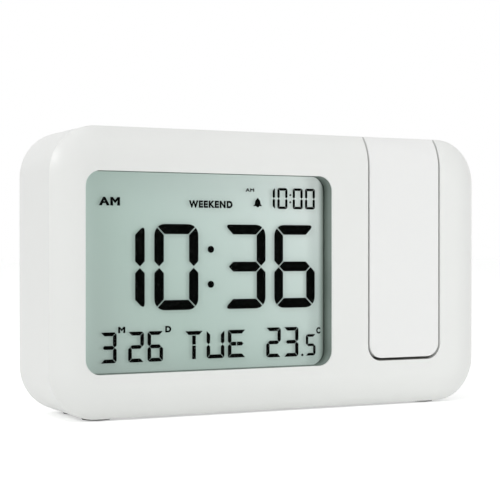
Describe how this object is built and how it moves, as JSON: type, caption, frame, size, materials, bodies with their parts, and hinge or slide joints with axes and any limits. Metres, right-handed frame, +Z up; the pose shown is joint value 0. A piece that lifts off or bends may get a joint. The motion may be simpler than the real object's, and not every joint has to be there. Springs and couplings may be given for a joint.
{
  "type": "projection alarm clock",
  "caption": "Table alarm clock with a recessed reflective display and a projector arm that hinges up out of the right of its face.",
  "frame": {"origin": "on the surface that the feet stand on, below the middle of the case's width and depth", "axes": "+X to the right seen from the front, -Y the way the face looks, +Z up"},
  "size_m": [0.15, 0.035, 0.0881],
  "materials": {
    "case_plastic": "fine satin moulding",
    "lining_plastic": "fine matt texture",
    "clear_plastic": "polished, clear",
    "polarizing_film": "satin film",
    "display_glass": "polished",
    "display_ink": "flat",
    "transflective_film": "fine satin reflecting film",
    "light_guide_plastic": "clear with white dots",
    "lamp_plastic": "clear epoxy",
    "inner_plastic": "plain moulding",
    "conductive_rubber": "layered silicone rubber",
    "circuit_board": "solder mask",
    "dark_plastic": "fine matt texture",
    "tinned_metal": "bright tin plate",
    "capacitor_sleeve": "shrink sleeve",
    "sensor_coating": "dipped epoxy",
    "brass": "rolled sheet",
    "cell_wrap": "printed shrink sleeve without a name",
    "steel": "zinc plated",
    "lead_sleeve": "soft vinyl",
    "foot_rubber": "matt",
    "arm_plastic": "fine satin moulding",
    "lens_plastic": "polished acrylic",
    "key_plastic": "satin"
  },
  "bodies": {
    "case": {"front_cover": "case_plastic", "rear_housing": "case_plastic", "display_surround": "lining_plastic", "display_window": "clear_plastic", "lcd_front_polarizer": "polarizing_film", "lcd_front_glass": "display_glass", "lcd_segments": "display_ink", "lcd_rear_glass": "display_glass", "lcd_transflector": "transflective_film", "light_guide": "light_guide_plastic", "backlight_led": "lamp_plastic", "lcd_frame": "inner_plastic", "zebra_strip": "conductive_rubber", "main_pcb": "circuit_board", "clock_chip": "dark_plastic", "quartz_crystal": "tinned_metal", "smoothing_capacitor": "capacitor_sleeve", "temperature_sensor": "sensor_coating", "snooze_switch": "dark_plastic", "key_pcb": "circuit_board", "key_switches": "dark_plastic", "slide_switch_body": "tinned_metal", "buzzer_case": "dark_plastic", "piezo_disc": "brass", "battery_cells": "cell_wrap", "battery_contacts": "tinned_metal", "dc_jack": "dark_plastic", "housing_screws": "steel", "board_screws": "steel", "key_board_screws": "steel", "cradle_screws": "steel", "arm_cradle": "inner_plastic", "friction_washers": "steel", "case_lead": "lead_sleeve", "rubber_feet": "foot_rubber"},
    "projector_arm": {"arm_front_shell": "arm_plastic", "arm_back_shell": "arm_plastic", "arm_screws": "steel", "hinge_trunnions": "steel", "retaining_rings": "steel", "optics_holder": "dark_plastic", "led_board": "circuit_board", "projector_led": "lamp_plastic", "condenser_lens": "lens_plastic", "image_lcd": "display_glass", "lens_bezel": "dark_plastic", "arm_lead": "lead_sleeve"},
    "lens_barrel": {"lens_barrel": "dark_plastic", "projection_lens": "lens_plastic"},
    "focus_ring": {"focus_ring": "dark_plastic"},
    "battery_door": {"battery_door": "case_plastic"},
    "snooze_bar": {"snooze_bar": "key_plastic"},
    "slide_knob": {"slide_switch_knob": "key_plastic"},
    "mode_key": {"mode_key": "key_plastic"},
    "set_key": {"set_key": "key_plastic"},
    "up_key": {"up_key": "key_plastic"},
    "down_key": {"down_key": "key_plastic"},
    "alarm_key": {"alarm_key": "key_plastic"},
    "projection_key": {"projection_key": "key_plastic"}
  },
  "joints": [
    {"name": "arm_hinge", "type": "hinge", "parent": "case", "child": "projector_arm", "pos_m": [0.0454, -0.009, 0.0796], "axis": [-1, 0, 0], "range_deg": [0, 180]},
    {"name": "focus_turn", "type": "hinge", "parent": "projector_arm", "child": "focus_ring", "pos_m": [0.0454, -0.009, 0.02625], "axis": [0, 0, 1], "range_deg": [-120, 120]},
    {"name": "lens_slide", "type": "slide", "parent": "projector_arm", "child": "lens_barrel", "axis": [0, 0, 1], "range_m": [-0.0012, 0.0012]},
    {"name": "battery_door_hinge", "type": "hinge", "parent": "case", "child": "battery_door", "pos_m": [-0.04025, 0.0164, 0.0181], "axis": [-1, 0, 0], "range_deg": [0, 75]},
    {"name": "snooze_press", "type": "slide", "parent": "case", "child": "snooze_bar", "axis": [0, 0, -1], "range_m": [0, 0.001], "stiffness_N_per_m": 600, "springref_m": -0.0008},
    {"name": "slide_switch", "type": "slide", "parent": "case", "child": "slide_knob", "axis": [1, 0, 0], "range_m": [0, 0.004]},
    {"name": "mode_key_press", "type": "slide", "parent": "case", "child": "mode_key", "axis": [0, -1, 0], "range_m": [0, 0.0006], "stiffness_N_per_m": 500, "springref_m": -0.0006},
    {"name": "set_key_press", "type": "slide", "parent": "case", "child": "set_key", "axis": [0, -1, 0], "range_m": [0, 0.0006], "stiffness_N_per_m": 500, "springref_m": -0.0006},
    {"name": "up_key_press", "type": "slide", "parent": "case", "child": "up_key", "axis": [0, -1, 0], "range_m": [0, 0.0006], "stiffness_N_per_m": 500, "springref_m": -0.0006},
    {"name": "down_key_press", "type": "slide", "parent": "case", "child": "down_key", "axis": [0, -1, 0], "range_m": [0, 0.0006], "stiffness_N_per_m": 500, "springref_m": -0.0006},
    {"name": "alarm_key_press", "type": "slide", "parent": "case", "child": "alarm_key", "axis": [0, -1, 0], "range_m": [0, 0.0006], "stiffness_N_per_m": 500, "springref_m": -0.0006},
    {"name": "projection_key_press", "type": "slide", "parent": "case", "child": "projection_key", "axis": [0, -1, 0], "range_m": [0, 0.0006], "stiffness_N_per_m": 500, "springref_m": -0.0006}
  ],
  "couplings": [
    {"joint": "focus_turn", "follows": "lens_slide", "rad_per_m": 1745.3}
  ]
}
